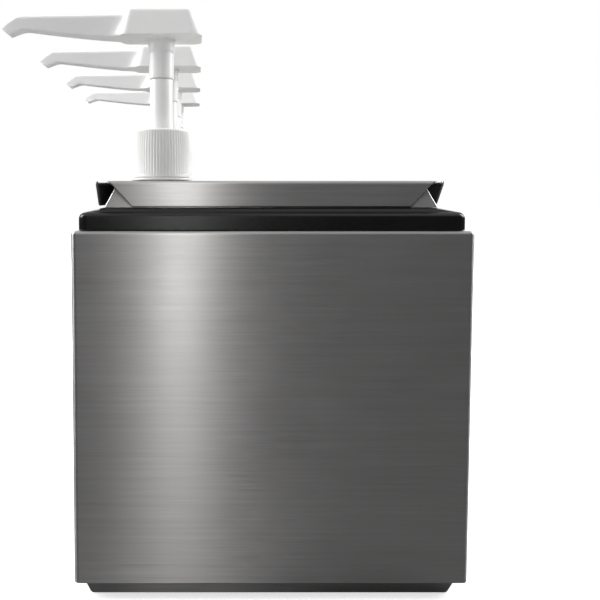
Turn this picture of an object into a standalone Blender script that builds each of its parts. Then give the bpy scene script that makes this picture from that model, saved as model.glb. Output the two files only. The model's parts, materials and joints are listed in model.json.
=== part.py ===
"""Insulated condiment station: a chilled base, four hanging pans and a lid with four pumps.

Run with: blender --background --python part.py
+Y runs along the row of pumps, the spouts point to -X and +Z is up. The origin is the centre of
the base's underside.
"""

import math

import bmesh
import bpy
from mathutils import Vector

# ---- Driving dimensions, in metres --------------------------------------------------------------

PUMP_COUNT = 4
PUMP_PITCH = 0.108                 # length of a ninth-size pan, so the pumps' spacing too
PUMP_AXIS_X = -0.066
GAP = 0.0003                       # clearance between faces that touch
SHEET = 0.0012                     # stainless sheet of the shell, base pan, frame and lid

BASE_TOP_HALF = (0.1095, 0.2255)
BASE_BOTTOM_HALF = (0.1060, 0.2225)
BASE_CORNER = 0.003

SHELL_HALF = (0.1140, 0.2300)
SHELL_CORNER = 0.003
SHELL_FOLD = 0.0020                # radius of the folded top edge
SHELL_BOTTOM = 0.0099
SHELL_TOP = 0.2138
SHELL_LIP = 0.0065                 # width of the shell's turned-in edges
LIP_CORNER = 0.0010

RIM_HALF = (0.1106, 0.2270)        # the black liner's rim, over the top of the shell
RIM_CORNER = 0.0055
RIM_SHOULDER = 0.0040
RIM_SKIRT_TOP = 0.2210
CROWN_HALF = (0.0978, 0.2209)
CROWN_TOP = 0.2268
LINER_OPENING = (0.0900, 0.2164)
LINER_DRAFT = (0.0080, 0.0090)     # how much the tub narrows from its mouth to its floor
LINER_CORNER = 0.012
LINER_WALL = 0.0026
LINER_FLOOR = 0.0275

FRAME_TOP = 0.2387                 # the sheet frame that the pans hang in
FRAME_BOTTOM_HALF = (0.0965, 0.2196)
FRAME_TOP_HALF = (0.0905, 0.2166)
FRAME_CORNER = 0.0014

PAN_RIM_HALF = (0.0880, 0.0537)
PAN_MOUTH_HALF = (0.0835, 0.0492)
PAN_FLOOR_HALF = (0.0780, 0.0440)
PAN_WALL = 0.0008
PAN_FLOOR = 0.0916
PAN_CORNER = 0.013

LID_HALF = (0.1024, 0.2215)
LID_TOP = 0.2424
LID_FLANGE = 0.0146
LID_CORNER_CUT = 0.0091            # the lid's corners are cut away before its edges are folded
LID_MITRE = 0.0133
LID_FLANGE_ROUND = 0.0025          # rounding of the long flanges' lower corners
LID_BEND = 0.0020

ICE_PACK_HALF = (0.0740, 0.0980)
ICE_PACK_HEIGHT = 0.0240

STEM_RADIUS = 0.0075
STEM_BORE = 0.0030
SPIGOT_RADIUS = 0.0050             # the stem's reduced lower end, inside the piston
STEM_TOP_RADIUS = 0.0060           # the stem's reduced upper end, inside the head's sleeve
SLEEVE_RADIUS = 0.0081
SLEEVE_BOSS_RADIUS = 0.0086
SLEEVE_BOTTOM = 0.3095
SLEEVE_BOSS = 0.3270               # the sleeve is a little thicker above this height
HEAD_BOTTOM = 0.3356
HEAD_TOP = 0.3521

# The push button's outlines: left, right, half depth, corner radius and height.
BUTTON_OUTLINES = (
    (-0.0270, 0.0266, 0.0162, 0.0065, HEAD_BOTTOM),
    (-0.0215, 0.0197, 0.0124, 0.0034, HEAD_TOP - 0.0014),
    (-0.0209, 0.0191, 0.0118, 0.0030, HEAD_TOP - 0.0004),
    (-0.0200, 0.0182, 0.0109, 0.0024, HEAD_TOP),
)

# Cross-sections along the spout: top x and z, bottom x and z, and half width.
SPOUT_STATIONS = (
    (0.0020, 0.3503, 0.0020, 0.3390, 0.0070),
    (-0.0270, 0.3503, -0.0296, 0.3350, 0.0078),
    (-0.0600, 0.3497, -0.0600, 0.3378, 0.0068),
    (-0.0890, 0.3494, -0.0875, 0.3409, 0.0056),
    (-0.0936, 0.3491, -0.0899, 0.3404, 0.0054),
    (-0.0985, 0.3462, -0.0938, 0.3390, 0.0052),
    (-0.1039, 0.3420, -0.0982, 0.3372, 0.0050),
)
SPOUT_SECTION = ((-1.0, -1.0), (1.0, -1.0), (1.0, 0.60), (0.90, 0.88), (0.60, 1.0), (-0.60, 1.0),
                 (-0.90, 0.88), (-1.0, 0.60))
SPOUT_WALL = 0.0016

COLLAR_RADIUS = 0.0185
COLLAR_TOP = 0.2764
NECK_RADIUS = 0.0140
BARREL_RADIUS = 0.0110
BARREL_BORE = 0.0090
FLANGE_RADIUS = 0.0195
CAGE_FLOOR = 0.1644                # the check ball's seat
BALL_RADIUS = 0.0040
SPRING_SEAT = 0.1764
PISTON_BOTTOM = 0.2354
PISTON_TOP = 0.2474
SPRING_WIRE = 0.0007               # radius
SPRING_RADIUS = 0.0072
SPRING_TURNS = 6
SPRING_POINTS_PER_TURN = 8
DIP_TUBE_BOTTOM = 0.0974

SEGMENTS = 20
CORNER_STEPS = 4
MERGE = 0.00001
SHARP_ANGLE = math.radians(35)

# Levels worked out from the dimensions above.
SHELL_LEDGE = SHELL_TOP + GAP
NECK_TOP = COLLAR_TOP - 0.0043
GASKET_BOTTOM = LID_TOP + GAP
GASKET_TOP = GASKET_BOTTOM + 0.0008
FLANGE_BOTTOM = GASKET_TOP + GAP
FLANGE_TOP = FLANGE_BOTTOM + 0.0015
COLLAR_BOTTOM = FLANGE_TOP + GAP
LOCKNUT_TOP = LID_TOP - SHEET - GAP
PUMP_CENTRES = [(index - (PUMP_COUNT - 1) / 2) * PUMP_PITCH for index in range(PUMP_COUNT)]


# ---- Scene and materials ------------------------------------------------------------------------

def clear_scene():
    for item in list(bpy.data.objects):
        bpy.data.objects.remove(item, do_unlink=True)


def make_collection(name):
    collection = bpy.data.collections.new(name)
    bpy.context.scene.collection.children.link(collection)
    return collection


def make_material(name, colour, roughness, metallic=0.0):
    material = bpy.data.materials.new(name)
    material.use_nodes = True
    shader = material.node_tree.nodes["Principled BSDF"]
    shader.inputs["Base Color"].default_value = (*colour, 1.0)
    shader.inputs["Roughness"].default_value = roughness
    shader.inputs["Metallic"].default_value = metallic
    return material


clear_scene()
STATION = make_collection("condiment_station")
CUTTERS = make_collection("cutters")

STEEL = make_material("brushed_steel", (0.62, 0.62, 0.61), 0.30, 1.0)
BRIGHT_STEEL = make_material("bright_steel", (0.70, 0.70, 0.70), 0.18, 1.0)
BLACK_PLASTIC = make_material("black_plastic", (0.012, 0.012, 0.013), 0.18)
WHITE_PLASTIC = make_material("white_plastic", (0.86, 0.86, 0.84), 0.35)
FOAM = make_material("foam", (0.80, 0.76, 0.62), 0.90)
SEAL = make_material("seal_rubber", (0.05, 0.05, 0.05), 0.70)
SILICONE = make_material("silicone", (0.78, 0.78, 0.76), 0.50)
ICE = make_material("ice_pack_blue", (0.10, 0.26, 0.48), 0.40)


# ---- Building tools -----------------------------------------------------------------------------

def add_object(name, mesh, material=None, collection=STATION):
    piece = bpy.data.objects.new(name, mesh)
    collection.objects.link(piece)
    if material is not None:
        mesh.materials.clear()
        mesh.materials.append(material)
    return piece


def add_from_bmesh(name, shape, material=None, collection=STATION):
    mesh = bpy.data.meshes.new(name)
    shape.to_mesh(mesh)
    shape.free()
    return add_object(name, mesh, material, collection)


def as_cutter(piece):
    piece.hide_render = True
    piece.display_type = "WIRE"
    for collection in list(piece.users_collection):
        collection.objects.unlink(piece)
    CUTTERS.objects.link(piece)
    return piece


def shaded_mesh(piece):
    """The piece's final mesh with its modifiers applied, smooth except at its sharp corners."""
    bpy.context.view_layer.update()
    evaluated = piece.evaluated_get(bpy.context.evaluated_depsgraph_get())
    mesh = bpy.data.meshes.new_from_object(evaluated)
    if piece.type == "CURVE":
        weld_caps(mesh)
    mesh.shade_smooth()
    mesh.set_sharp_from_angle(angle=SHARP_ANGLE)
    return mesh


def settle(piece):
    """Turn the modifiers' result into the piece's own mesh."""
    mesh = shaded_mesh(piece)
    piece.modifiers.clear()
    piece.data = mesh
    return piece


def combine(piece, other, operation):
    """Add the other shape to the piece, or cut it away."""
    boolean = piece.modifiers.new(operation.lower(), "BOOLEAN")
    boolean.operation = operation
    boolean.solver = "EXACT"
    boolean.object = as_cutter(other)


def rounded_rectangle(half, radius, height, centre=(0.0, 0.0)):
    """Points of a rectangle with round corners, seen from above, at one height."""
    points = []
    for corner in range(4):
        side_x = (1, -1, -1, 1)[corner] * (half[0] - radius)
        side_y = (1, 1, -1, -1)[corner] * (half[1] - radius)
        middle = Vector((centre[0] + side_x, centre[1] + side_y, height))
        for step in range(CORNER_STEPS + 1):
            angle = math.radians(90) * (corner + step / CORNER_STEPS)
            points.append(middle + radius * Vector((math.cos(angle), math.sin(angle), 0.0)))
    return points


def grown(half, amount):
    return (half[0] + amount, half[1] + amount)


def loft(name, loops, material=None, ring=False):
    """Bridge loops of equal length. The ends are capped, or joined to each other in a ring."""
    shape = bmesh.new()
    rows = [[shape.verts.new(point) for point in loop] for loop in loops]
    pairs = list(zip(rows, rows[1:]))
    if ring:
        pairs.append((rows[-1], rows[0]))
    else:
        shape.faces.new(rows[0])
        shape.faces.new(rows[-1])
    for row, following in pairs:
        for index in range(len(row)):
            after = (index + 1) % len(row)
            shape.faces.new((row[index], row[after], following[after], following[index]))
    bmesh.ops.recalc_face_normals(shape, faces=shape.faces)
    return add_from_bmesh(name, shape, material)


def turned(name, profile, material=None, segments=SEGMENTS):
    """Turn a closed profile of (radius, height) points, listed down the outside first."""
    shape = bmesh.new()
    points = [shape.verts.new((radius, 0.0, height)) for radius, height in profile]
    for index, point in enumerate(points):
        shape.edges.new((point, points[(index + 1) % len(points)]))
    piece = add_from_bmesh(name, shape, material)
    screw = piece.modifiers.new("turn", "SCREW")
    screw.axis = "Z"
    screw.angle = math.radians(360)
    screw.steps = segments
    screw.render_steps = segments
    screw.use_merge_vertices = True
    screw.merge_threshold = MERGE
    return piece


def tube(name, outer, inner, bottom, top, material=None, segments=SEGMENTS):
    profile = [(outer, top), (outer, bottom), (inner, bottom), (inner, top)]
    return turned(name, profile, material, segments)


def cylinder(name, radius, bottom, top, segments=SEGMENTS, centre=(0.0, 0.0)):
    shape = bmesh.new()
    bmesh.ops.create_cone(shape, cap_ends=True, segments=segments, radius1=radius, radius2=radius,
                          depth=top - bottom)
    bmesh.ops.translate(shape, verts=shape.verts, vec=(*centre, (top + bottom) / 2))
    return add_from_bmesh(name, shape)


# ---- Base ---------------------------------------------------------------------------------------

def build_base_pan():
    """Shallow tray that closes the shell from below. It is set back to leave a shadow gap."""
    top = SHELL_BOTTOM - GAP
    inner_corner = BASE_CORNER - SHEET
    loops = [
        rounded_rectangle(BASE_BOTTOM_HALF, BASE_CORNER, 0.0),
        rounded_rectangle(BASE_TOP_HALF, BASE_CORNER, top),
        rounded_rectangle(grown(BASE_TOP_HALF, -SHEET), inner_corner, top),
        rounded_rectangle(grown(BASE_BOTTOM_HALF, -SHEET), inner_corner, SHEET),
    ]
    settle(loft("base_pan", loops, STEEL))


def build_shell():
    """Four-sided outer shell with its top and bottom edges turned in."""
    inner = grown(SHELL_HALF, -SHEET)
    inner_corner = SHELL_CORNER - SHEET
    lip = grown(SHELL_HALF, -SHELL_LIP)
    loops = [rounded_rectangle(SHELL_HALF, SHELL_CORNER, SHELL_BOTTOM)]
    for turn in (0, 30, 60, 90):
        angle = math.radians(turn)
        inset = SHELL_FOLD * (1 - math.cos(angle))
        height = SHELL_TOP - SHELL_FOLD * (1 - math.sin(angle))
        loops.append(rounded_rectangle(grown(SHELL_HALF, -inset), SHELL_CORNER - inset, height))
    loops += [
        rounded_rectangle(lip, LIP_CORNER, SHELL_TOP),
        rounded_rectangle(lip, LIP_CORNER, SHELL_TOP - SHEET),
        rounded_rectangle(inner, inner_corner, SHELL_TOP - 2 * SHEET),
        rounded_rectangle(inner, inner_corner, SHELL_BOTTOM + SHEET),
        rounded_rectangle(lip, LIP_CORNER, SHELL_BOTTOM + SHEET),
        rounded_rectangle(lip, LIP_CORNER, SHELL_BOTTOM),
    ]
    settle(loft("shell", loops, STEEL, ring=True))


def liner_half(height, outside):
    """Half sizes of the liner's drafted wall at a height, on its inner or outer side."""
    drop = (CROWN_TOP - height) / (CROWN_TOP - LINER_FLOOR)
    half = tuple(size - draft * drop for size, draft in zip(LINER_OPENING, LINER_DRAFT))
    return grown(half, LINER_WALL) if outside else half


def build_liner():
    """Moulded black tub. Its rim turns out over the shell and down in a short skirt."""
    under = SHELL_TOP + LINER_WALL
    floor_top = LINER_FLOOR + LINER_WALL
    skirt_inner = grown(RIM_HALF, -LINER_WALL)
    skirt_corner = RIM_CORNER - LINER_WALL
    inner_corner = LINER_CORNER - LINER_WALL
    loops = [
        rounded_rectangle(liner_half(LINER_FLOOR, True), LINER_CORNER, LINER_FLOOR),
        rounded_rectangle(liner_half(under, True), LINER_CORNER, under),
        rounded_rectangle(skirt_inner, skirt_corner, under + 0.0020),
        rounded_rectangle(skirt_inner, skirt_corner, SHELL_LEDGE),
        rounded_rectangle(RIM_HALF, RIM_CORNER, SHELL_LEDGE),
    ]
    for turn in (0, 30, 60, 85):
        angle = math.radians(turn)
        inset = RIM_SHOULDER * (1 - math.cos(angle))
        height = RIM_SKIRT_TOP + 0.9 * RIM_SHOULDER * math.sin(angle)
        loops.append(rounded_rectangle(grown(RIM_HALF, -inset), RIM_CORNER - 0.8 * inset, height))
    loops += [
        rounded_rectangle(grown(CROWN_HALF, 0.0010), 0.008, CROWN_TOP - 0.0002),
        rounded_rectangle(CROWN_HALF, 0.008, CROWN_TOP),
        rounded_rectangle(liner_half(CROWN_TOP, False), inner_corner, CROWN_TOP),
        rounded_rectangle(liner_half(floor_top, False), inner_corner, floor_top),
    ]
    settle(loft("liner", loops, BLACK_PLASTIC))


def build_insulation():
    """Foam tub between the shell and the liner."""
    outer = grown(SHELL_HALF, -SHEET - 0.0004)
    bottom = SHELL_BOTTOM + SHEET + GAP
    top = SHELL_TOP - SHEET - 0.0015
    corner = SHELL_CORNER - SHEET
    loops = [
        rounded_rectangle(outer, corner, bottom),
        rounded_rectangle(outer, corner, top),
        rounded_rectangle(grown(liner_half(top, True), 2 * GAP), LINER_CORNER, top),
        rounded_rectangle(grown(liner_half(LINER_FLOOR, True), 2 * GAP), LINER_CORNER,
                          LINER_FLOOR - GAP),
    ]
    settle(loft("insulation", loops, FOAM))


def build_ice_packs():
    """Two flat freezer packs on the liner's floor, under the pans."""
    bottom = LINER_FLOOR + LINER_WALL + GAP
    top = bottom + ICE_PACK_HEIGHT
    edge = 0.004
    for number, side in enumerate((-1, 1), start=1):
        centre = (0.0, side * (ICE_PACK_HALF[1] + 0.004))
        loops = [
            rounded_rectangle(grown(ICE_PACK_HALF, -edge), 0.012, bottom, centre),
            rounded_rectangle(ICE_PACK_HALF, 0.014, bottom + edge, centre),
            rounded_rectangle(ICE_PACK_HALF, 0.014, top - edge, centre),
            rounded_rectangle(grown(ICE_PACK_HALF, -edge), 0.012, top, centre),
        ]
        settle(loft(f"ice_pack_{number}", loops, ICE))


# ---- Pan rack -----------------------------------------------------------------------------------

def build_pan_frame():
    """Raised sheet frame with one opening for each pan. It stands on the liner's crown."""
    bottom = CROWN_TOP + GAP
    inner_top = grown(FRAME_TOP_HALF, -SHEET)
    loops = [
        rounded_rectangle(inner_top, FRAME_CORNER - SHEET, FRAME_TOP - SHEET),
        rounded_rectangle(grown(FRAME_BOTTOM_HALF, -SHEET), FRAME_CORNER - SHEET, bottom),
        rounded_rectangle(FRAME_BOTTOM_HALF, FRAME_CORNER, bottom),
        rounded_rectangle(FRAME_TOP_HALF, FRAME_CORNER, FRAME_TOP),
    ]
    frame = loft("pan_frame", loops, STEEL)
    opening = grown(PAN_MOUTH_HALF, 0.0014)
    for number, centre_y in enumerate(PUMP_CENTRES, start=1):
        hole = loft(f"pan_opening_{number}", [
            rounded_rectangle(opening, PAN_CORNER, FRAME_TOP - 0.010, (0.0, centre_y)),
            rounded_rectangle(opening, PAN_CORNER, FRAME_TOP + 0.010, (0.0, centre_y)),
        ])
        combine(frame, hole, "DIFFERENCE")


def build_pans():
    """Tapered steel pans that hang in the frame by their turned-down rims."""
    rim_bottom = FRAME_TOP + GAP
    rim_top = LID_TOP - SHEET - GAP
    under_rim = rim_top - PAN_WALL
    loops = [
        rounded_rectangle(grown(PAN_FLOOR_HALF, PAN_WALL), PAN_CORNER, PAN_FLOOR),
        rounded_rectangle(grown(PAN_MOUTH_HALF, PAN_WALL), PAN_CORNER, under_rim),
        rounded_rectangle(grown(PAN_RIM_HALF, -PAN_WALL), 0.006, under_rim),
        rounded_rectangle(grown(PAN_RIM_HALF, -PAN_WALL), 0.006, rim_bottom),
        rounded_rectangle(PAN_RIM_HALF, 0.007, rim_bottom),
        rounded_rectangle(PAN_RIM_HALF, 0.007, rim_top),
        rounded_rectangle(PAN_MOUTH_HALF, PAN_CORNER - PAN_WALL, rim_top),
        rounded_rectangle(PAN_FLOOR_HALF, PAN_CORNER - PAN_WALL, PAN_FLOOR + PAN_WALL),
    ]
    pattern = settle(loft("pan_1", loops, BRIGHT_STEEL))
    pattern.location.y = PUMP_CENTRES[0]
    for number, centre_y in enumerate(PUMP_CENTRES[1:], start=2):
        pan = add_object(f"pan_{number}", pattern.data)
        pan.location.y = centre_y


# ---- Lid ----------------------------------------------------------------------------------------

def build_lid():
    """Folded sheet lid: its four edges turn down, with mitred ends and open corners."""
    shape = bmesh.new()
    bmesh.ops.create_grid(shape, x_segments=1, y_segments=1, size=1.0)
    bmesh.ops.scale(shape, vec=(*LID_HALF, 1.0), verts=shape.verts)
    bmesh.ops.translate(shape, vec=(0.0, 0.0, LID_TOP), verts=shape.verts)
    bmesh.ops.bevel(shape, geom=list(shape.verts), offset=LID_CORNER_CUT, affect="VERTICES")
    sides = [edge for edge in shape.edges if edge.calc_length() > 4 * LID_CORNER_CUT]
    long_corners = []
    for side in sides:
        along_x = abs(side.verts[0].co.x - side.verts[1].co.x) > MERGE
        folded = bmesh.ops.extrude_edge_only(shape, edges=[side])["geom"]
        for corner in [item for item in folded if isinstance(item, bmesh.types.BMVert)]:
            corner.co.z -= LID_FLANGE
            axis = 0 if along_x else 1
            corner.co[axis] -= math.copysign(LID_MITRE, corner.co[axis])
            if not along_x:
                long_corners.append(corner)
    bmesh.ops.bevel(shape, geom=long_corners, offset=LID_FLANGE_ROUND, segments=2, profile=0.5,
                    affect="VERTICES")
    bmesh.ops.recalc_face_normals(shape, faces=shape.faces)
    if max(face.normal.z for face in shape.faces) < 0.5:
        bmesh.ops.reverse_faces(shape, faces=shape.faces)
    lid = add_from_bmesh("lid", shape, STEEL)
    bend = lid.modifiers.new("bend", "BEVEL")
    bend.width = LID_BEND
    bend.segments = 3
    bend.limit_method = "ANGLE"
    thickness = lid.modifiers.new("sheet", "SOLIDIFY")
    thickness.thickness = SHEET
    thickness.offset = -1.0
    thickness.use_even_offset = True
    for number, centre_y in enumerate(PUMP_CENTRES, start=1):
        hole = cylinder(f"lid_hole_{number}", BARREL_RADIUS + 0.0005, LID_TOP - 0.01, LID_TOP + 0.01,
                        centre=(PUMP_AXIS_X, centre_y))
        combine(lid, hole, "DIFFERENCE")


# ---- Pump pieces, each built about its own upright axis -----------------------------------------

def build_cylinder_body():
    """Pump barrel: threaded neck and flange on top, ball cage and tube spigot below."""
    bore = STEM_BORE
    cage = BALL_RADIUS + 0.0010
    return turned("cylinder", [
        (NECK_RADIUS, NECK_TOP),
        (NECK_RADIUS, FLANGE_TOP),
        (FLANGE_RADIUS, FLANGE_TOP),
        (FLANGE_RADIUS, FLANGE_BOTTOM),
        (BARREL_RADIUS, FLANGE_BOTTOM),
        (BARREL_RADIUS, CAGE_FLOOR + 0.006),
        (0.0070, CAGE_FLOOR - 0.003),
        (0.0045, CAGE_FLOOR - 0.003),
        (0.0045, CAGE_FLOOR - 0.017),
        (bore, CAGE_FLOOR - 0.017),
        (bore, CAGE_FLOOR),
        (cage, CAGE_FLOOR),
        (cage, SPRING_SEAT - 0.002),
        (bore, SPRING_SEAT - 0.002),
        (bore, SPRING_SEAT),
        (BARREL_BORE, SPRING_SEAT),
        (BARREL_BORE, NECK_TOP),
    ], WHITE_PLASTIC)


def build_collar():
    """Screw collar over the neck. The stem slides through the hole in its top."""
    web = NECK_TOP + GAP
    return turned("collar", [
        (COLLAR_RADIUS - 0.0016, COLLAR_TOP),
        (COLLAR_RADIUS - 0.0008, COLLAR_TOP - 0.0009),
        (COLLAR_RADIUS, COLLAR_TOP - 0.0120),
        (COLLAR_RADIUS, COLLAR_BOTTOM),
        (NECK_RADIUS + GAP, COLLAR_BOTTOM),
        (NECK_RADIUS + GAP, web),
        (STEM_RADIUS + GAP, web),
        (STEM_RADIUS + GAP, COLLAR_TOP),
    ], WHITE_PLASTIC, segments=28)


def build_gasket():
    return tube("gasket", FLANGE_RADIUS - 0.0012, BARREL_RADIUS + 0.0013, GASKET_BOTTOM, GASKET_TOP,
                SILICONE)


def build_locknut():
    """Six-sided nut under the lid."""
    bottom = LOCKNUT_TOP - 0.0075
    nut = tube("locknut", 0.0160, BARREL_RADIUS + 0.0004, bottom, LOCKNUT_TOP, WHITE_PLASTIC)
    flats = cylinder("locknut_flats", 0.0150, bottom - 0.001, LOCKNUT_TOP + 0.001, segments=6)
    combine(nut, flats, "INTERSECT")
    return nut


def build_stem():
    """Hollow push rod, reduced at the top for the head and at the bottom for the piston."""
    return turned("stem", [
        (STEM_TOP_RADIUS, HEAD_BOTTOM - 0.0005),
        (STEM_TOP_RADIUS, SLEEVE_BOTTOM - GAP),
        (STEM_RADIUS, SLEEVE_BOTTOM - GAP),
        (STEM_RADIUS, PISTON_TOP + GAP),
        (SPIGOT_RADIUS, PISTON_TOP + GAP),
        (SPIGOT_RADIUS, PISTON_BOTTOM - 0.0015),
        (STEM_BORE, PISTON_BOTTOM - 0.0015),
        (STEM_BORE, HEAD_BOTTOM - 0.0005),
    ], WHITE_PLASTIC)


def build_piston():
    """Piston with a lip seal at each end."""
    outer = BARREL_BORE - GAP
    waist = outer - 0.0014
    inner = SPIGOT_RADIUS + GAP
    return turned("piston", [
        (outer, PISTON_TOP),
        (waist, PISTON_TOP - 0.004),
        (waist, PISTON_BOTTOM + 0.004),
        (outer, PISTON_BOTTOM),
        (inner, PISTON_BOTTOM),
        (inner, PISTON_TOP),
    ], SEAL)


def build_dip_tube():
    return tube("dip_tube", 0.0063, 0.0048, DIP_TUBE_BOTTOM, CAGE_FLOOR - 0.0033, WHITE_PLASTIC)


def build_check_ball():
    """Ball that rests on the edge of the seat's bore."""
    rest = math.sqrt(BALL_RADIUS ** 2 - STEM_BORE ** 2) + 2 * GAP
    shape = bmesh.new()
    bmesh.ops.create_uvsphere(shape, u_segments=10, v_segments=6, radius=BALL_RADIUS)
    bmesh.ops.translate(shape, vec=(0.0, 0.0, CAGE_FLOOR + rest), verts=shape.verts)
    return add_from_bmesh("check_ball", shape, BRIGHT_STEEL)


def build_spring():
    """Return spring between the cylinder's seat and the piston."""
    bottom = SPRING_SEAT + SPRING_WIRE + GAP
    top = PISTON_BOTTOM - SPRING_WIRE - GAP
    count = SPRING_TURNS * SPRING_POINTS_PER_TURN + 1
    curve = bpy.data.curves.new("spring", "CURVE")
    curve.dimensions = "3D"
    curve.bevel_depth = SPRING_WIRE
    curve.bevel_resolution = 0
    curve.use_fill_caps = True
    spline = curve.splines.new("POLY")
    spline.points.add(count - 1)
    for index, point in enumerate(spline.points):
        share = index / (count - 1)
        angle = math.radians(360) * SPRING_TURNS * share
        height = bottom + (top - bottom) * share
        point.co = (SPRING_RADIUS * math.cos(angle), SPRING_RADIUS * math.sin(angle), height, 1.0)
    curve.materials.append(BRIGHT_STEEL)
    spring = bpy.data.objects.new("spring", curve)
    STATION.objects.link(spring)
    return spring


def weld_caps(mesh):
    """Join the caps of a swept curve to its wall, so that it is one closed body."""
    shape = bmesh.new()
    shape.from_mesh(mesh)
    bmesh.ops.remove_doubles(shape, verts=shape.verts, dist=MERGE)
    shape.to_mesh(mesh)
    shape.free()


def button_loops():
    """The push button's outlines, one above the other."""
    loops = []
    for left, right, half_depth, corner, height in BUTTON_OUTLINES:
        centre = ((left + right) / 2, 0.0)
        loops.append(rounded_rectangle(((right - left) / 2, half_depth), corner, height, centre))
    return loops


def spout_loops(inset, beyond=0.0):
    """Flat-bottomed sections along the spout, drawn in by the inset and carried on past the tip."""
    stations = list(SPOUT_STATIONS)
    if beyond:
        before, last = (Vector(station) for station in stations[-2:])
        stations.append(tuple(last + (last - before).normalized() * beyond))
    loops = []
    for top_x, top_z, bottom_x, bottom_z, half_width in stations:
        top = Vector((top_x, 0.0, top_z))
        bottom = Vector((bottom_x, 0.0, bottom_z))
        middle = (top + bottom) / 2
        up = (top - bottom) / 2
        up *= 1 - inset / up.length
        across = Vector((0.0, half_width - inset, 0.0))
        loops.append([middle + across * share_y + up * share_z for share_y, share_z in SPOUT_SECTION])
    return loops


def build_sleeve():
    """Socket under the button, with a thicker boss where it meets the button."""
    return turned("sleeve", [
        (SLEEVE_BOSS_RADIUS, HEAD_BOTTOM + 0.004),
        (SLEEVE_BOSS_RADIUS, SLEEVE_BOSS),
        (SLEEVE_RADIUS, SLEEVE_BOSS),
        (SLEEVE_RADIUS, SLEEVE_BOTTOM),
        (0.0, SLEEVE_BOTTOM),
        (0.0, HEAD_BOTTOM + 0.004),
    ])


def build_actuator():
    """Push head: a sloped button with a tapering spout, a turned-down outlet and a sleeve."""
    button = loft("actuator", button_loops(), WHITE_PLASTIC)
    combine(button, loft("spout", spout_loops(0.0)), "UNION")
    combine(button, build_sleeve(), "UNION")
    combine(button, loft("channel", spout_loops(SPOUT_WALL, beyond=0.004)), "DIFFERENCE")
    socket = cylinder("socket", STEM_TOP_RADIUS + GAP, SLEEVE_BOTTOM - 0.005, HEAD_BOTTOM + 0.0015)
    combine(button, socket, "DIFFERENCE")
    passage = cylinder("passage", STEM_BORE, HEAD_BOTTOM, HEAD_TOP - 0.0080, segments=12)
    combine(button, passage, "DIFFERENCE")
    return button


def build_pumps():
    """Build each pump piece once, then place a copy of it at every pump's axis."""
    axes = []
    for number, centre_y in enumerate(PUMP_CENTRES, start=1):
        axis = bpy.data.objects.new(f"pump_axis_{number}", None)
        axis.location = (PUMP_AXIS_X, centre_y, 0.0)
        STATION.objects.link(axis)
        axes.append(axis)
    builders = (build_cylinder_body, build_collar, build_gasket, build_locknut, build_stem,
                build_piston, build_dip_tube, build_check_ball, build_spring, build_actuator)
    for build in builders:
        pattern = build()
        name = pattern.name
        mesh = shaded_mesh(pattern)
        bpy.data.objects.remove(pattern)
        for number, axis in enumerate(axes, start=1):
            piece = add_object(f"{name}_{number}", mesh)
            piece.parent = axis


build_base_pan()
build_shell()
build_insulation()
build_liner()
build_ice_packs()
build_pan_frame()
build_pans()
build_lid()
build_pumps()
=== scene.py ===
"""Looks of the four-pump condiment station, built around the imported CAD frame. Metres, +Z up."""

import math

import bmesh
import bpy
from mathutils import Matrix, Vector
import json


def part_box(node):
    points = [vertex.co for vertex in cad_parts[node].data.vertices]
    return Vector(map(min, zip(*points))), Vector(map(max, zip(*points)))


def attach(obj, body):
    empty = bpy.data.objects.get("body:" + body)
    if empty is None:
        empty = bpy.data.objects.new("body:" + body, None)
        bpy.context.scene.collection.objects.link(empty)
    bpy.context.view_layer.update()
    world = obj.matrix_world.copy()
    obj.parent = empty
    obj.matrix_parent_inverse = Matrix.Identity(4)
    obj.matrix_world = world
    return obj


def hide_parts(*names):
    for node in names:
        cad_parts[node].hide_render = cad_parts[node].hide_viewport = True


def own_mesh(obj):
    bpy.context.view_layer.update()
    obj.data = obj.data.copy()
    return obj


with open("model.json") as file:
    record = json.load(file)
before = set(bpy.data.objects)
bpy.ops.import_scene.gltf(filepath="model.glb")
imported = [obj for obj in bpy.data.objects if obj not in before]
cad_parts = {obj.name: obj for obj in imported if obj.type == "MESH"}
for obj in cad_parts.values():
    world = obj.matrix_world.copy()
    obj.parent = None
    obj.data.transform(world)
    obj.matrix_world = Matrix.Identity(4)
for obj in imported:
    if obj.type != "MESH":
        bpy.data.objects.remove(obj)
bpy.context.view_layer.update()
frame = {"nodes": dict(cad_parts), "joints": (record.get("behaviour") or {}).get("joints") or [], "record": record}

NODES = frame["nodes"]
RECORD = frame["record"]
JOINTS = {joint["name"]: joint for joint in frame["joints"]}
BODY_OF = {node: body for body, nodes in RECORD["behaviour"]["bodies"].items() for node in nodes}
SLOT_OF = {entry["node"]: entry["material_slot"] for entry in RECORD["subparts"]}
PUMPS = sorted(int(node.rsplit("_", 1)[1]) for node in NODES if node.startswith("actuator_"))
ICE_PACKS = sorted(int(node.rsplit("_", 1)[1]) for node in NODES if node.startswith("ice_pack_"))

MILLIMETRE = 0.001
FULL_TURN = math.radians(360)
QUARTER_TURN = FULL_TURN / 4
UP = Vector((0.0, 0.0, 1.0))

WELD = 0.002 * MILLIMETRE          # distance at which split corners are one point
FLAT_ANGLE = math.radians(0.6)     # faces that meet at less than this are one face
CREASE = math.radians(30)          # edges that turn by more than this stay sharp


# ---- Camera, light and floor --------------------------------------------------------------------

PHOTO_CAMERA = Vector((-0.0430, -0.6120, 0.2343))
CAMERA_PITCH = math.radians(-3.2)
CAMERA_LENS = 40.86
CAMERA_SENSOR = 36.0
CAMERA_SHIFT = (0.1723, -0.1116)
NEAR_CLIP = 0.01

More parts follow.
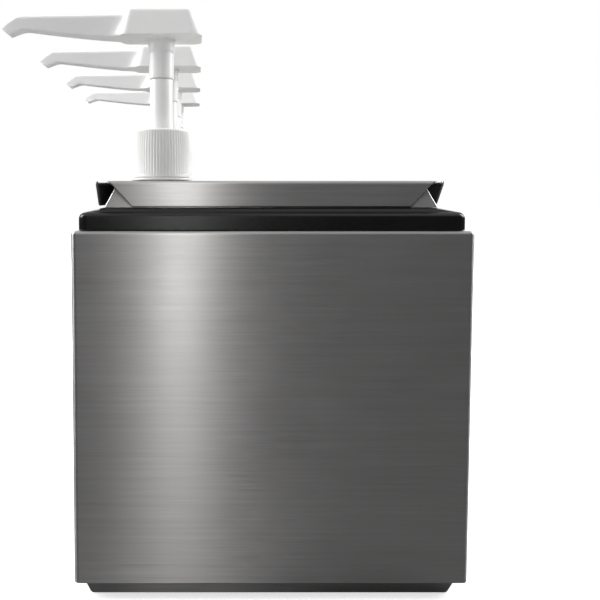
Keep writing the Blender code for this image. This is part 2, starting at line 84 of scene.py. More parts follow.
# Name, place, target, size in metres and power in watts. The strip is what the steel mirrors.
AREA_LIGHTS = (
    ("front_strip", (-0.100, -1.90, 0.60), (-0.060, 0.0, 0.14), (0.09, 1.90), 5.2),
    ("left_side", (-1.00, -0.08, 0.75), (0.0, -0.08, 0.30), (0.7, 0.7), 14.0),
    ("right_side", (1.00, 0.14, 0.75), (0.0, 0.10, 0.30), (0.7, 0.7), 12.0),
    ("behind", (0.0, 1.60, 0.90), (0.0, 0.0, 0.25), (2.0, 1.2), 12.0),
)
SKY_STRENGTH = 1.7
SKY_WIDTH = math.radians(100)
SKY_HEIGHT = 2.0

WHITE = (1.0, 1.0, 1.0)
STUDIO_COLOUR = (0.95, 0.97, 1.0)
STUDIO_STRENGTH = 0.08
FLOOR_RADIUS = 9.0
FLOOR_SIDES = 96


def make_camera():
    data = bpy.data.cameras.new("camera")
    data.lens = CAMERA_LENS
    data.sensor_width = CAMERA_SENSOR
    data.shift_x, data.shift_y = CAMERA_SHIFT
    data.clip_start = NEAR_CLIP
    camera = bpy.data.objects.new("camera", data)
    camera.location = PHOTO_CAMERA
    camera.rotation_euler = (QUARTER_TURN + CAMERA_PITCH, 0.0, 0.0)
    bpy.context.scene.collection.objects.link(camera)
    bpy.context.scene.camera = camera


def add_area_light(name, place, target, size, power):
    data = bpy.data.lights.new(name, "AREA")
    data.shape = "RECTANGLE"
    data.size, data.size_y = size
    data.energy = power
    light = bpy.data.objects.new(name, data)
    light.location = place
    light.rotation_euler = (Vector(target) - Vector(place)).to_track_quat("-Z", "Y").to_euler()
    bpy.context.scene.collection.objects.link(light)


def add_sky_light():
    """Even light from straight above."""
    data = bpy.data.lights.new("overhead", "SUN")
    data.energy = SKY_STRENGTH
    data.angle = SKY_WIDTH
    light = bpy.data.objects.new("overhead", data)
    light.location = UP * SKY_HEIGHT
    bpy.context.scene.collection.objects.link(light)


def make_lights():
    add_sky_light()
    for light in AREA_LIGHTS:
        add_area_light(*light)


def add_background(tree, colour, strength):
    background = tree.nodes.new("ShaderNodeBackground")
    background.inputs["Color"].default_value = (*colour, 1.0)
    background.inputs["Strength"].default_value = strength
    return background


def make_world():
    """White behind the object, and a dim studio for what the steel mirrors."""
    world = bpy.data.worlds.new("studio")
    bpy.context.scene.world = world
    world.use_nodes = True
    tree = world.node_tree
    tree.nodes.clear()
    paths = tree.nodes.new("ShaderNodeLightPath")
    dim = add_background(tree, STUDIO_COLOUR, STUDIO_STRENGTH)
    white = add_background(tree, WHITE, 1.0)
    choose = tree.nodes.new("ShaderNodeMixShader")
    output = tree.nodes.new("ShaderNodeOutputWorld")
    tree.links.new(paths.outputs["Is Camera Ray"], choose.inputs["Fac"])
    tree.links.new(dim.outputs["Background"], choose.inputs[1])
    tree.links.new(white.outputs["Background"], choose.inputs[2])
    tree.links.new(choose.outputs["Shader"], output.inputs["Surface"])


def make_floor():
    shape = bmesh.new()
    bmesh.ops.create_circle(shape, cap_ends=True, segments=FLOOR_SIDES, radius=FLOOR_RADIUS)
    floor = add_piece("floor", shape, floor_material())


# ---- Materials ----------------------------------------------------------------------------------

NOISE_LOW = 0.3                    # most of a noise texture's values lie between these two
NOISE_HIGH = 0.7
EVEN = (1.0, 1.0, 1.0)             # object coordinates as they are


class Shader:
    """A Principled material with short calls for its nodes."""

    def __init__(self, name, colour, roughness, metallic=0.0):
        self.material = bpy.data.materials.new(name)
        self.material.use_nodes = True
        self.tree = self.material.node_tree
        self.principled = self.tree.nodes["Principled BSDF"]
        self.set("Base Color", (*colour, 1.0))
        self.set("Roughness", roughness)
        self.set("Metallic", metallic)

    def set(self, socket, value):
        self.principled.inputs[socket].default_value = value

    def node(self, kind, **values):
        made = self.tree.nodes.new(kind)
        for name, value in values.items():
            setattr(made, name, value)
        return made

    def link(self, output, target):
        self.tree.links.new(output, target)

    def coordinates(self, scale, uv_name=None):
        """Object coordinates, or a UV map's, stretched by a scale for each axis."""
        if uv_name:
            source = self.node("ShaderNodeUVMap", uv_map=uv_name).outputs["UV"]
        else:
            source = self.node("ShaderNodeTexCoord").outputs["Object"]
        mapping = self.node("ShaderNodeMapping")
        mapping.inputs["Scale"].default_value = scale
        self.link(source, mapping.inputs["Vector"])
        return mapping.outputs["Vector"]

    def noise(self, vector, scale, detail, roughness):
        texture = self.node("ShaderNodeTexNoise")
        texture.inputs["Scale"].default_value = scale
        texture.inputs["Detail"].default_value = detail
        texture.inputs["Roughness"].default_value = roughness
        self.link(vector, texture.inputs["Vector"])
        return texture.outputs["Fac"]

    def spread(self, value, low, high):
        """Map a noise value to the range low to high."""
        ranged = self.node("ShaderNodeMapRange")
        ranged.inputs["From Min"].default_value = NOISE_LOW
        ranged.inputs["From Max"].default_value = NOISE_HIGH
        ranged.inputs["To Min"].default_value = low
        ranged.inputs["To Max"].default_value = high
        self.link(value, ranged.inputs["Value"])
        return ranged.outputs["Result"]

    def add(self, first, second):
        total = self.node("ShaderNodeMath", operation="ADD")
        self.link(first, total.inputs[0])
        self.link(second, total.inputs[1])
        return total.outputs["Value"]

    def tint(self, value, dark, light):
        """Base colour from dark to light as the value rises."""
        ramp = self.node("ShaderNodeValToRGB")
        ramp.color_ramp.elements[0].color = (*dark, 1.0)
        ramp.color_ramp.elements[1].color = (*light, 1.0)
        self.link(value, ramp.inputs["Fac"])
        self.link(ramp.outputs["Color"], self.principled.inputs["Base Color"])

    def diffuse(self, colour):
        diffuse = self.node("ShaderNodeBsdfDiffuse")
        diffuse.inputs["Color"].default_value = (*colour, 1.0)
        return diffuse.outputs["BSDF"]

    def choose(self, factor, unless, when):
        """The shader `when` where the factor is one, and `unless` where it is nought."""
        mix = self.node("ShaderNodeMixShader")
        self.link(factor, mix.inputs["Fac"])
        self.link(unless, mix.inputs[1])
        self.link(when, mix.inputs[2])
        return mix.outputs["Shader"]

    def bump(self, value, strength, distance):
        bump = self.node("ShaderNodeBump")
        bump.inputs["Strength"].default_value = strength
        bump.inputs["Distance"].default_value = distance
        self.link(value, bump.inputs["Height"])
        self.link(bump.outputs["Normal"], self.principled.inputs["Normal"])


BRUSH_UV = "brush"
FINE_LINES = (22.0, 2600.0, 1.0)   # noise cells in a metre, along and across the brush lines
COARSE_LINES = (5.0, 420.0, 1.0)
FINE_SHARE = 0.65                  # of the steel's tint and relief. The coarse lines have the rest
BRUSHED_DARK = (0.39, 0.38, 0.375)
BRUSHED_LIGHT = (0.53, 0.52, 0.515)
BRUSHED_ROUGHNESS = 0.35
BRUSHED_ANISOTROPY = 0.97
ACROSS_THE_LINES = 0.25            # of a turn from the brush lines, where steel scatters most
BRUSH_RELIEF = 0.04 * MILLIMETRE


def brushed_steel():
    """Steel with fine and coarse brush lines along the brush map's U axis, and faint smudges."""
    shader = Shader("brushed_steel", BRUSHED_LIGHT, BRUSHED_ROUGHNESS, metallic=1.0)
    fine = shader.noise(shader.coordinates(FINE_LINES, BRUSH_UV), 1.0, 5.0, 0.7)
    coarse = shader.noise(shader.coordinates(COARSE_LINES, BRUSH_UV), 1.0, 3.0, 0.6)
    smudge = shader.noise(shader.coordinates(EVEN), 14.0, 3.0, 0.5)
    lines = shader.add(shader.spread(fine, 0.0, FINE_SHARE), shader.spread(coarse, 0.0, 1.0 - FINE_SHARE))
    shader.tint(lines, BRUSHED_DARK, BRUSHED_LIGHT)
    gloss = shader.add(shader.spread(fine, BRUSHED_ROUGHNESS - 0.06, BRUSHED_ROUGHNESS + 0.08),
                       shader.spread(smudge, -0.025, 0.035))
    shader.link(gloss, shader.principled.inputs["Roughness"])
    shader.bump(lines, 0.05, BRUSH_RELIEF)
    shader.set("Anisotropic", BRUSHED_ANISOTROPY)
    shader.set("Anisotropic Rotation", ACROSS_THE_LINES)
    tangent = shader.node("ShaderNodeTangent", direction_type="UV_MAP", uv_map=BRUSH_UV)
    shader.link(tangent.outputs["Tangent"], shader.principled.inputs["Tangent"])
    return shader.material


DRAWN_GRAIN = (60.0, 60.0, 900.0)  # noise cells in a metre along each axis


def bright_steel(name):
    """Deep-drawn pan steel, or spring wire, with a faint satin grain."""
    shader = Shader(name, (0.66, 0.66, 0.66), 0.22, metallic=1.0)
    grain = shader.noise(shader.coordinates(DRAWN_GRAIN), 1.0, 4.0, 0.6)
    cloud = shader.noise(shader.coordinates(EVEN), 20.0, 3.0, 0.5)
    shader.tint(grain, (0.58, 0.58, 0.58), (0.72, 0.72, 0.72))
    gloss = shader.add(shader.spread(grain, 0.16, 0.26), shader.spread(cloud, -0.02, 0.05))
    shader.link(gloss, shader.principled.inputs["Roughness"])
    shader.bump(grain, 0.02, 0.04 * MILLIMETRE)
    return shader.material


# Dark and light colour, roughness, grain cells in a metre and bump strength.
PLASTICS = {
    "black_plastic": ((0.005, 0.005, 0.005), (0.009, 0.009, 0.009), 0.20, 900.0, 0.01),
    "white_plastic": ((0.87, 0.87, 0.86), (0.93, 0.93, 0.92), 0.30, 900.0, 0.05),
    "silicone": ((0.74, 0.74, 0.72), (0.82, 0.82, 0.80), 0.48, 600.0, 0.05),
    "seal_rubber": ((0.030, 0.030, 0.030), (0.055, 0.055, 0.054), 0.62, 700.0, 0.15),
    "ice_pack": ((0.08, 0.22, 0.42), (0.12, 0.30, 0.52), 0.36, 300.0, 0.10),
}
PLASTIC_RELIEF = 0.12 * MILLIMETRE


def moulded_plastic(name):
    """Injection-moulded plastic: faint colour clouds, uneven gloss and a very fine skin grain."""
    dark, light, roughness, grain_scale, bump = PLASTICS[name]
    shader = Shader(name, light, roughness)
    cloud = shader.noise(shader.coordinates(EVEN), 28.0, 3.0, 0.5)
    grain = shader.noise(shader.coordinates(EVEN), grain_scale, 3.0, 0.6)
    shader.tint(cloud, dark, light)
    gloss = shader.add(shader.spread(grain, roughness - 0.03, roughness + 0.04),
                       shader.spread(cloud, -0.02, 0.03))
    shader.link(gloss, shader.principled.inputs["Roughness"])
    shader.bump(grain, bump, PLASTIC_RELIEF)
    return shader


def white_plastic():
    """Slightly see-through polypropylene."""
    shader = moulded_plastic("white_plastic")
    shader.set("Subsurface Weight", 0.18)
    shader.set("Subsurface Radius", (0.004, 0.004, 0.0035))
    shader.set("Subsurface Scale", 1.0)
    return shader.material


def black_plastic():
    shader = moulded_plastic("black_plastic")
    shader.set("Specular IOR Level", 0.30)
    return shader.material


def foam_material():
    shader = Shader("insulation_foam", (0.80, 0.76, 0.62), 0.92)
    cells = shader.noise(shader.coordinates(EVEN), 420.0, 4.0, 0.7)
    shader.tint(cells, (0.66, 0.61, 0.47), (0.86, 0.82, 0.69))
    shader.bump(cells, 0.5, 0.6 * MILLIMETRE)
    return shader.material


FLOOR_GLOW = 0.55
FLOOR_IN_STEEL = (0.12, 0.12, 0.12)
FLOOR_BELOW_PLASTIC = (0.45, 0.45, 0.45)


def floor_material():
    """Pale to the camera and darker to other rays, as if little of it were lit."""
    shader = Shader("pale_floor", (0.92, 0.92, 0.92), 0.60)
    speckle = shader.noise(shader.coordinates(EVEN), 30.0, 3.0, 0.5)
    shader.tint(speckle, (0.90, 0.90, 0.90), (0.94, 0.94, 0.94))
    shader.set("Emission Color", (*WHITE, 1.0))
    shader.set("Emission Strength", FLOOR_GLOW)
    paths = shader.node("ShaderNodeLightPath")
    indirect = shader.choose(paths.outputs["Is Glossy Ray"], shader.diffuse(FLOOR_BELOW_PLASTIC),
                             shader.diffuse(FLOOR_IN_STEEL))
    surface = shader.choose(paths.outputs["Is Camera Ray"], indirect, shader.principled.outputs["BSDF"])
    shader.link(surface, shader.tree.nodes["Material Output"].inputs["Surface"])
    return shader.material


def make_materials():
    """A material for each of the record's slots."""
    return {
        "brushed_steel": brushed_steel(),
        "bright_steel": bright_steel("bright_steel"),
        "spring_steel": bright_steel("spring_steel"),
        "black_plastic": black_plastic(),
        "white_plastic": white_plastic(),
        "foam": foam_material(),
        "silicone": moulded_plastic("silicone").material,
        "seal_rubber": moulded_plastic("seal_rubber").material,
        "ice_pack": moulded_plastic("ice_pack").material,
    }


# ---- Mesh tools ---------------------------------------------------------------------------------

LEVEL_ENOUGH = 0.75                # upward part of a flat face's normal, for the brush map
ON_PLANE = 0.01 * MILLIMETRE
LONGEST_CUT = 0.45                 # of an edge, so that the cuts at its two ends don't meet


def add_piece(name, shape, material):
    mesh = bpy.data.meshes.new(name)
    shape.to_mesh(mesh)
    shape.free()
    mesh.materials.append(material)
    piece = bpy.data.objects.new(name, mesh)
    bpy.context.scene.collection.objects.link(piece)
    return piece


def stand_for(piece, node):
    """The piece takes the CAD node's place and body."""
    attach(piece, BODY_OF[node])
    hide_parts(node)
    return piece


def welded(node):
    """The CAD node's mesh with its split corners joined."""
    shape = bmesh.new()
    shape.from_mesh(NODES[node].data)
    bmesh.ops.remove_doubles(shape, verts=shape.verts, dist=WELD)
    return shape


def shade(piece, angle=CREASE):
    piece.data.shade_smooth()
    piece.data.set_sharp_from_angle(angle=angle)


def map_brush(piece, side_flanges_down=False):
    """UV in metres, with U along the brush lines.

    The lines run level on upright faces and along X on flat ones. With side_flanges_down they run
    down the faces at the sides, as on a sheet that was brushed before it was folded.
    """
    mesh = piece.data
    layer = mesh.uv_layers.new(name=BRUSH_UV)
    for face in mesh.polygons:
        normal = face.normal
        for index in face.loop_indices:
            point = mesh.vertices[mesh.loops[index].vertex_index].co
            if abs(normal.z) > LEVEL_ENOUGH:
                layer.data[index].uv = (point.x, point.y)
            elif abs(normal.y) > abs(normal.x):
                layer.data[index].uv = (point.x, point.z)
            elif side_flanges_down:
                layer.data[index].uv = (point.z, point.y)
            else:
                layer.data[index].uv = (point.y, point.z)


def softened(node, name, width, segments=3, brushed=False, side_flanges_down=False):
    """A copy of the node with its edges rounded, for sheet metal and moulded tubs."""
    shape = welded(node)
    bmesh.ops.dissolve_limit(shape, angle_limit=FLAT_ANGLE, verts=shape.verts, edges=shape.edges)
    piece = add_piece(name, shape, MATERIALS[SLOT_OF[node]])
    piece.data.shade_smooth()
    if brushed:
        map_brush(piece, side_flanges_down)
    rounding = piece.modifiers.new("rounded_edges", "BEVEL")
    rounding.width = width
    rounding.segments = segments
    rounding.limit_method = "ANGLE"
    rounding.angle_limit = CREASE
    rounding.use_clamp_overlap = True
    flat = piece.modifiers.new("flat_faces", "WEIGHTED_NORMAL")
    flat.keep_sharp = True
    return stand_for(piece, node)


def node_centre(node):
    low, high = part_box(node)
    return (low + high) / 2


def node_profile(node, centre):
    """The turned node's outline as (radius, height) points, down the outside first."""
    shape = welded(node)
    plane = [vert for vert in shape.verts
             if abs(vert.co.y - centre.y) < ON_PLANE and vert.co.x > centre.x + ON_PLANE]
    near = {vert: [edge.other_vert(vert) for edge in vert.link_edges if edge.other_vert(vert) in plane]
            for vert in plane}
    start = max(plane, key=lambda vert: (round(vert.co.z, 6), vert.co.x))
    route = [start, min(near[start], key=lambda vert: vert.co.z)]
    while True:
        following = [vert for vert in near[route[-1]] if vert is not route[-2]]
        if not following or following[0] is start:
            break
        route.append(following[0])
    profile = [(vert.co.x - centre.x, vert.co.z) for vert in route]
    shape.free()
    return profile


def rounded_profile(points, radius, steps=3):
    """Round each corner of a closed profile that turns by more than a slight angle."""
    result = []
    count = len(points)
    for index in range(count):
        here = Vector(points[index])
        before = Vector(points[index - 1]) - here
        after = Vector(points[(index + 1) % count]) - here
        turn = math.pi - before.angle(after)
        if turn < CREASE / 2:
            result.append(tuple(here))
            continue
        cut = min(radius, LONGEST_CUT * before.length, LONGEST_CUT * after.length)
        start = here + before.normalized() * cut
        end = here + after.normalized() * cut
        for step in range(steps + 1):
            share = step / steps
            point = start * (1 - share) ** 2 + here * 2 * share * (1 - share) + end * share ** 2
            result.append(tuple(point))
    return result


def bridge(shape, row, following):
    """Faces between two closed rows of as many points."""
    for index in range(len(row)):
        after = (index + 1) % len(row)
        shape.faces.new((row[index], row[after], following[after], following[index]))


def spun(profile, centre, segments, radius_at=None):
    """Turn a closed profile about the upright line through centre."""
    shape = bmesh.new()
    rings = []
    for radius, height in profile:
        ring = []
        for index in range(segments):
            angle = FULL_TURN * index / segments
            reach = radius_at(angle, radius, height) if radius_at else radius
            ring.append(shape.verts.new((centre.x + reach * math.cos(angle),
                                         centre.y + reach * math.sin(angle), height)))
        rings.append(ring)
    for index, ring in enumerate(rings):
        bridge(shape, ring, rings[(index + 1) % len(rings)])
    bmesh.ops.recalc_face_normals(shape, faces=shape.faces)
    return shape


def tube(rows):
    """A closed shape through rows of points, with a face at each end."""
    shape = bmesh.new()
    rows = [[shape.verts.new(point) for point in row] for row in rows]
    shape.faces.new(rows[0])
    shape.faces.new(rows[-1])
    for row, following in zip(rows, rows[1:]):
        bridge(shape, row, following)
    bmesh.ops.recalc_face_normals(shape, faces=shape.faces)
    return shape


def refined_turning(node, name, radius, segments):
    """The turned node again, rounder and with each corner of its profile rounded off."""
    centre = node_centre(node)
    profile = rounded_profile(node_profile(node, centre), radius)
    piece = add_piece(name, spun(profile, centre, segments), MATERIALS[SLOT_OF[node]])
    shade(piece)
    return stand_for(piece, node)


# ---- Pump pieces --------------------------------------------------------------------------------

RIBS = 60
RIB_DEPTH = 0.6 * MILLIMETRE
RIB_POINTS = 6                     # points round the collar for each rib
RIB_TOP_MARGIN = 0.9 * MILLIMETRE
RIB_BOTTOM_MARGIN = 1.8 * MILLIMETRE
RIB_FADE = 0.7 * MILLIMETRE
RIBBED_SKIN = 1.7 * MILLIMETRE     # how far in from the outside the ribs can reach
RIB_ROUNDNESS = 1.5                # above 1 the ribs are broad and the grooves narrow
RIB_CREASE = math.radians(50)
COLLAR_ROUNDING = 0.5 * MILLIMETRE


def ribbed_collar(number):
    """Screw collar with fine upright ribs above a plain lower band."""
    node = f"collar_{number}"
    centre = node_centre(node)
    low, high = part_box(node)
    outer = (high.x - low.x) / 2
    rib_bottom = low.z + RIB_BOTTOM_MARGIN
    rib_top = high.z - RIB_TOP_MARGIN
    levels = (rib_top, rib_top - RIB_FADE, rib_bottom + RIB_FADE, rib_bottom)
    profile = []
    rounded = rounded_profile(node_profile(node, centre), COLLAR_ROUNDING)
    for index, point in enumerate(rounded):
        following = rounded[(index + 1) % len(rounded)]
        profile.append(point)
        if min(point[0], following[0]) < outer - RIBBED_SKIN:
            continue
        for height in levels:
            if point[1] > height > following[1]:
                share = (point[1] - height) / (point[1] - following[1])
                profile.append((point[0] + (following[0] - point[0]) * share, height))

    def ribbed(angle, radius, height):
        fade = min(rib_top - height, height - rib_bottom) / RIB_FADE
        if radius < outer - RIBBED_SKIN or fade <= 0.0:
            return radius
        groove = ((1 - math.cos(RIBS * angle)) / 2) ** RIB_ROUNDNESS
        return radius - RIB_DEPTH * min(fade, 1.0) * groove

    piece = add_piece(f"ribbed_collar_{number}", spun(profile, centre, RIBS * RIB_POINTS, ribbed),
                      MATERIALS["white_plastic"])
    shade(piece, RIB_CREASE)
    return stand_for(piece, node)


HEAD_CORNER_STEPS = 14
HEAD_VOXEL = 0.55 * MILLIMETRE
HEAD_FLOW = 4                      # smoothing passes where the button, spout and sleeve meet
HEAD_CREASE = math.radians(40)
SLEEVE_RADIUS = 8.1 * MILLIMETRE
BOSS_RADIUS = 8.55 * MILLIMETRE
BOSS_HEIGHT = 17.5 * MILLIMETRE    # above the sleeve's lower end
BUTTON_HEIGHT = 16.5 * MILLIMETRE
SPOUT_WALL = 1.5 * MILLIMETRE
SOCKET_RADIUS = 6.3 * MILLIMETRE   # bore of the sleeve, which fits over the push rod
SOCKET_RISE = 1.5 * MILLIMETRE     # how far the bore goes up into the button
SLEEVE_RISE = 4.0 * MILLIMETRE     # how far the sleeve goes up into the button
BOSS_RISE = 3.0 * MILLIMETRE
SPARE = 5.0 * MILLIMETRE           # how far a cutter stands out of what it cuts
OUTLET_SPARE = 4.0 * MILLIMETRE

SPOUT_TOP_ROUNDING = 0.32          # shares of the spout's half width and half height
SPOUT_BOTTOM_ROUNDING = 0.08
SPOUT_CORNER_STEPS = 6
STATION_STEPS = 5                  # sections between two of the stations below
TIP_STEPS = 3

# The button's outlines: left, right, half depth and corner radius, and depth below its top.
BUTTON_OUTLINES = (
    (-0.0269, 0.0266, 0.0161, 0.0065, 0.0166),
    (-0.0215, 0.0197, 0.0124, 0.0034, 0.0012),
    (-0.0211, 0.0193, 0.0120, 0.0030, 0.0003),
    (-0.0204, 0.0186, 0.0113, 0.0024, -0.0002),
)
# Sections along the spout: top x, top depth, bottom x, bottom depth, half width and the share of
# that width at its top. The spout flares out where it leaves the button.
SPOUT_STATIONS = (
    (0.0020, 0.0022, 0.0020, 0.0130, 0.0070, 0.94),
    (-0.0165, 0.0019, -0.0215, 0.0163, 0.0150, 0.74),
    (-0.0190, 0.0018, -0.0245, 0.0163, 0.0134, 0.76),
    (-0.0214, 0.0018, -0.0272, 0.0164, 0.0110, 0.80),
    (-0.0242, 0.0018, -0.0302, 0.0165, 0.0090, 0.86),
    (-0.0277, 0.0018, -0.0335, 0.0165, 0.0080, 0.92),
    (-0.0320, 0.0019, -0.0375, 0.0163, 0.0077, 0.94),
    (-0.0600, 0.0024, -0.0600, 0.0143, 0.0068, 0.94),
    (-0.0890, 0.0027, -0.0872, 0.0113, 0.0056, 0.94),
)
TIP_STATIONS = (
    (-0.0936, 0.0030, -0.0899, 0.0117, 0.0054, 0.94),
    (-0.0985, 0.0060, -0.0938, 0.0131, 0.0052, 0.90),
    (-0.1039, 0.0101, -0.0982, 0.0149, 0.0048, 0.85),
)


def loft(name, loops):
    return add_piece(name, tube(loops), MATERIALS["white_plastic"])


def button_outline(left, right, half_depth, corner, height):
    """Rounded rectangle seen from above."""
    points = []
    for turn in range(4):
        side_x = (1, -1, -1, 1)[turn] * ((right - left) / 2 - corner)
        side_y = (1, 1, -1, -1)[turn] * (half_depth - corner)
        middle = Vector(((left + right) / 2 + side_x, side_y, height))
        for step in range(HEAD_CORNER_STEPS + 1):
            angle = QUARTER_TURN * (turn + step / HEAD_CORNER_STEPS)
            points.append(middle + corner * Vector((math.cos(angle), math.sin(angle), 0.0)))
    return points


def spout_section(top_share):
    """Shares of half width and half height round the spout: crisp edges below, round above."""
    points = []
    for turn in range(4):
        reach = SPOUT_TOP_ROUNDING if turn < 2 else SPOUT_BOTTOM_ROUNDING
        side_x = (1, -1, -1, 1)[turn] * (1 - reach)
        side_y = (1, 1, -1, -1)[turn] * (1 - reach)
        for step in range(SPOUT_CORNER_STEPS + 1):
            angle = QUARTER_TURN * (turn + step / SPOUT_CORNER_STEPS)
            height = side_y + reach * math.sin(angle)
            narrowing = 1 - (1 - top_share) * (height + 1) / 2
            points.append(((side_x + reach * math.cos(angle)) * narrowing, height))
    return points


def smooth_stations(stations, steps):
    """Stations on a smooth curve through the given ones (Catmull-Rom)."""
    result = []
    last = len(stations) - 1
    for index in range(last):
        before = stations[max(index - 1, 0)]
        start, end = stations[index], stations[index + 1]
        after = stations[min(index + 2, last)]
        for step in range(steps):
            share = step / steps
            weights = (
                -0.5 * share + share ** 2 - 0.5 * share ** 3,
                1.0 - 2.5 * share ** 2 + 1.5 * share ** 3,
                0.5 * share + 2.0 * share ** 2 - 1.5 * share ** 3,
                -0.5 * share ** 2 + 0.5 * share ** 3,
            )
            result.append(tuple(sum(weight * value for weight, value in zip(weights, column))
                                for column in zip(before, start, end, after)))
    result.append(stations[-1])
    return result


def spout_loops(top, inset, beyond=0.0):
    """Sections along the spout, drawn in by the inset and carried on past the tip."""
    stations = smooth_stations(SPOUT_STATIONS, STATION_STEPS) + smooth_stations(TIP_STATIONS, TIP_STEPS)
    if beyond:
        before, last = (Vector(station) for station in stations[-2:])
        stations.append(tuple(last + (last - before).normalized() * beyond))
    loops = []
    for top_x, top_depth, bottom_x, bottom_depth, half_width, top_share in stations:
        upper = Vector((top_x, 0.0, top - top_depth))
        lower = Vector((bottom_x, 0.0, top - bottom_depth))
        up = (upper - lower) / 2
        up *= 1 - inset / up.length
        across = Vector((0.0, half_width - inset, 0.0))
        middle = (upper + lower) / 2
        loops.append([middle + across * share_y + up * share_z
                      for share_y, share_z in spout_section(top_share)])
    return loops


def upright_rod(name, radius, bottom, top, segments=56):
    shape = bmesh.new()
    bmesh.ops.create_cone(shape, cap_ends=True, segments=segments, radius1=radius, radius2=radius,
                          depth=top - bottom)
    bmesh.ops.translate(shape, verts=shape.verts, vec=(0.0, 0.0, (top + bottom) / 2))
    return add_piece(name, shape, MATERIALS["white_plastic"])


def combine(piece, other, operation):
    """A Boolean on the piece. The other piece is handed back, to remove once this is settled."""
    boolean = piece.modifiers.new(operation.lower(), "BOOLEAN")
    boolean.operation = operation
    boolean.solver = "EXACT"
    boolean.object = other
    other.hide_render = True
    return other


def settle(piece):
    """Apply the piece's modifiers to its mesh."""
    bpy.context.view_layer.update()
    evaluated = piece.evaluated_get(bpy.context.evaluated_depsgraph_get())
    mesh = bpy.data.meshes.new_from_object(evaluated)
    piece.modifiers.clear()
    piece.data = mesh
    return piece


def head_pattern():
    """Push head about its own axis: the button, spout and sleeve flow into each other."""
    low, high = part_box("actuator_1")
    top = high.z
    bottom = top - BUTTON_HEIGHT
    boss = low.z + BOSS_HEIGHT
    head = loft("head_pattern", [button_outline(*outline[:4], top - outline[4])
                                 for outline in BUTTON_OUTLINES])
    spare = [
        combine(head, loft("spout_blank", spout_loops(top, 0.0)), "UNION"),
        combine(head, upright_rod("sleeve_blank", SLEEVE_RADIUS, low.z, bottom + SLEEVE_RISE), "UNION"),
        combine(head, upright_rod("boss_blank", BOSS_RADIUS, boss, bottom + BOSS_RISE), "UNION"),
    ]
    settle(head)
    remesh = head.modifiers.new("remesh", "REMESH")
    remesh.mode = "VOXEL"
    remesh.voxel_size = HEAD_VOXEL
    flow = head.modifiers.new("flow", "SMOOTH")
    flow.factor = 0.5
    flow.iterations = HEAD_FLOW
    settle(head)
    spare += [
        combine(head, loft("channel_blank", spout_loops(top, SPOUT_WALL, OUTLET_SPARE)), "DIFFERENCE"),
        combine(head, upright_rod("socket_blank", SOCKET_RADIUS, low.z - SPARE, bottom + SOCKET_RISE),
                "DIFFERENCE"),
    ]
    settle(head)
    for blank in spare:
        bpy.data.objects.remove(blank)
    shade(head, HEAD_CREASE)
    return head


def make_heads():
    """One mesh serves all the heads, which are alike."""
    pattern = head_pattern()
    for number in PUMPS:
        axis = Vector(JOINTS[f"swivel_{number}"]["pos_m"])
        head = bpy.data.objects.new(f"push_head_{number}", pattern.data)
        bpy.context.scene.collection.objects.link(head)
        head.location = (axis.x, axis.y, 0.0)
        stand_for(head, f"actuator_{number}")
    bpy.data.objects.remove(pattern)


WIRE_RADIUS = 0.7 * MILLIMETRE
WIRE_SIDES = 10
SPRING_TURNS = 6
SPRING_STEPS = 28                  # rings of points in each turn
END_FLATNESS = 0.7                 # 0 gives an even pitch, and 1 gives level ends


def return_spring(number):
    """Wire coil. Its end turns lie nearly flat."""
    node = f"spring_{number}"
    low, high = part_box(node)
    centre = (low + high) / 2
    length = high.z - low.z
    radius = (high.x - low.x) / 2 - WIRE_RADIUS
    count = SPRING_TURNS * SPRING_STEPS
    rows = []
    for index in range(count + 1):
        share = index / count
        eased = share - END_FLATNESS * math.sin(FULL_TURN * share) / FULL_TURN
        height = low.z + WIRE_RADIUS + (length - 2 * WIRE_RADIUS) * eased
        angle = FULL_TURN * SPRING_TURNS * share
        outwards = Vector((math.cos(angle), math.sin(angle), 0.0))
        middle = Vector((centre.x, centre.y, height)) + outwards * radius
        row = []
        for side in range(WIRE_SIDES):
            turn = FULL_TURN * side / WIRE_SIDES
            row.append(middle + WIRE_RADIUS * (outwards * math.cos(turn) + UP * math.sin(turn)))
        rows.append(row)
    spring = add_piece(f"return_spring_{number}", tube(rows), MATERIALS["spring_steel"])
    shade(spring)
    stand_for(spring, node)
    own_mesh(spring)


BALL_SEGMENTS = 36
BALL_RINGS = 24


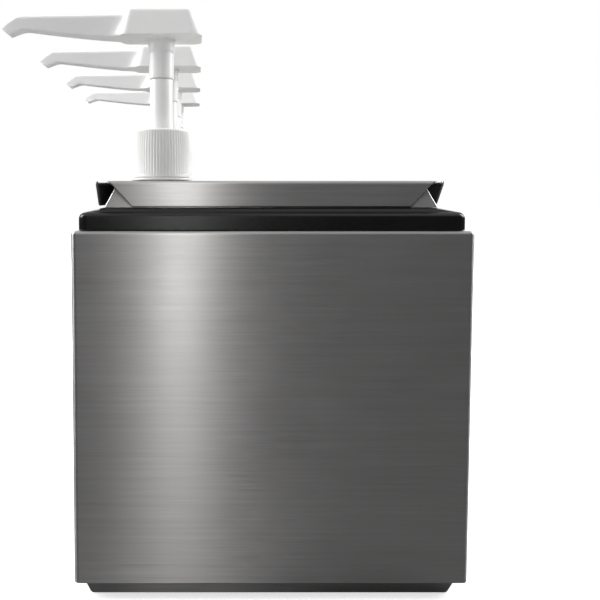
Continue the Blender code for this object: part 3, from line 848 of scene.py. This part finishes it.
def check_ball(number):
    """Bearing ball on its seat in the pump barrel."""
    node = f"check_ball_{number}"
    low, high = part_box(node)
    shape = bmesh.new()
    bmesh.ops.create_uvsphere(shape, u_segments=BALL_SEGMENTS, v_segments=BALL_RINGS,
                              radius=(high.z - low.z) / 2)
    bmesh.ops.translate(shape, verts=shape.verts, vec=node_centre(node))
    piece = add_piece(f"steel_ball_{number}", shape, MATERIALS["spring_steel"])
    shade(piece)
    stand_for(piece, node)


# CAD node, the visual piece's name, the rounding of its corners and the sides of its turns.
TURNED_PIECES = (
    ("stem", "push_stem", 0.5 * MILLIMETRE, 72),
    ("cylinder", "pump_barrel", 0.6 * MILLIMETRE, 72),
    ("dip_tube", "suction_tube", 0.3 * MILLIMETRE, 48),
    ("gasket", "lid_gasket", 0.5 * MILLIMETRE, 72),
    ("piston", "lip_piston", 0.3 * MILLIMETRE, 72),
)
LOCKNUT_ROUNDING = 0.5 * MILLIMETRE


def make_pumps():
    make_heads()
    for number in PUMPS:
        ribbed_collar(number)
        for node, name, rounding, segments in TURNED_PIECES:
            refined_turning(f"{node}_{number}", f"{name}_{number}", rounding, segments)
        softened(f"locknut_{number}", f"hex_locknut_{number}", LOCKNUT_ROUNDING)
        return_spring(number)
        check_ball(number)


# ---- Base, rack and lid -------------------------------------------------------------------------
# The number in each call is the rounding of the piece's edges.

def make_base():
    softened("shell", "steel_shell", 0.35 * MILLIMETRE, brushed=True)
    softened("base_pan", "steel_base_pan", 0.30 * MILLIMETRE, brushed=True)
    softened("liner", "black_liner", 0.60 * MILLIMETRE, segments=4)
    softened("insulation", "foam_insulation", 1.5 * MILLIMETRE)
    for number in ICE_PACKS:
        softened(f"ice_pack_{number}", f"freezer_pack_{number}", 2.0 * MILLIMETRE)


def make_rack():
    softened("pan_frame", "steel_pan_frame", 0.30 * MILLIMETRE, brushed=True)
    for number in PUMPS:
        softened(f"pan_{number}", f"steel_pan_{number}", 0.30 * MILLIMETRE)


def make_lid():
    softened("lid", "folded_lid", 0.40 * MILLIMETRE, brushed=True, side_flanges_down=True)


MATERIALS = make_materials()
bpy.context.scene.view_settings.view_transform = "Standard"
make_world()
make_camera()
make_lights()
make_floor()
make_base()
make_rack()
make_lid()
make_pumps()
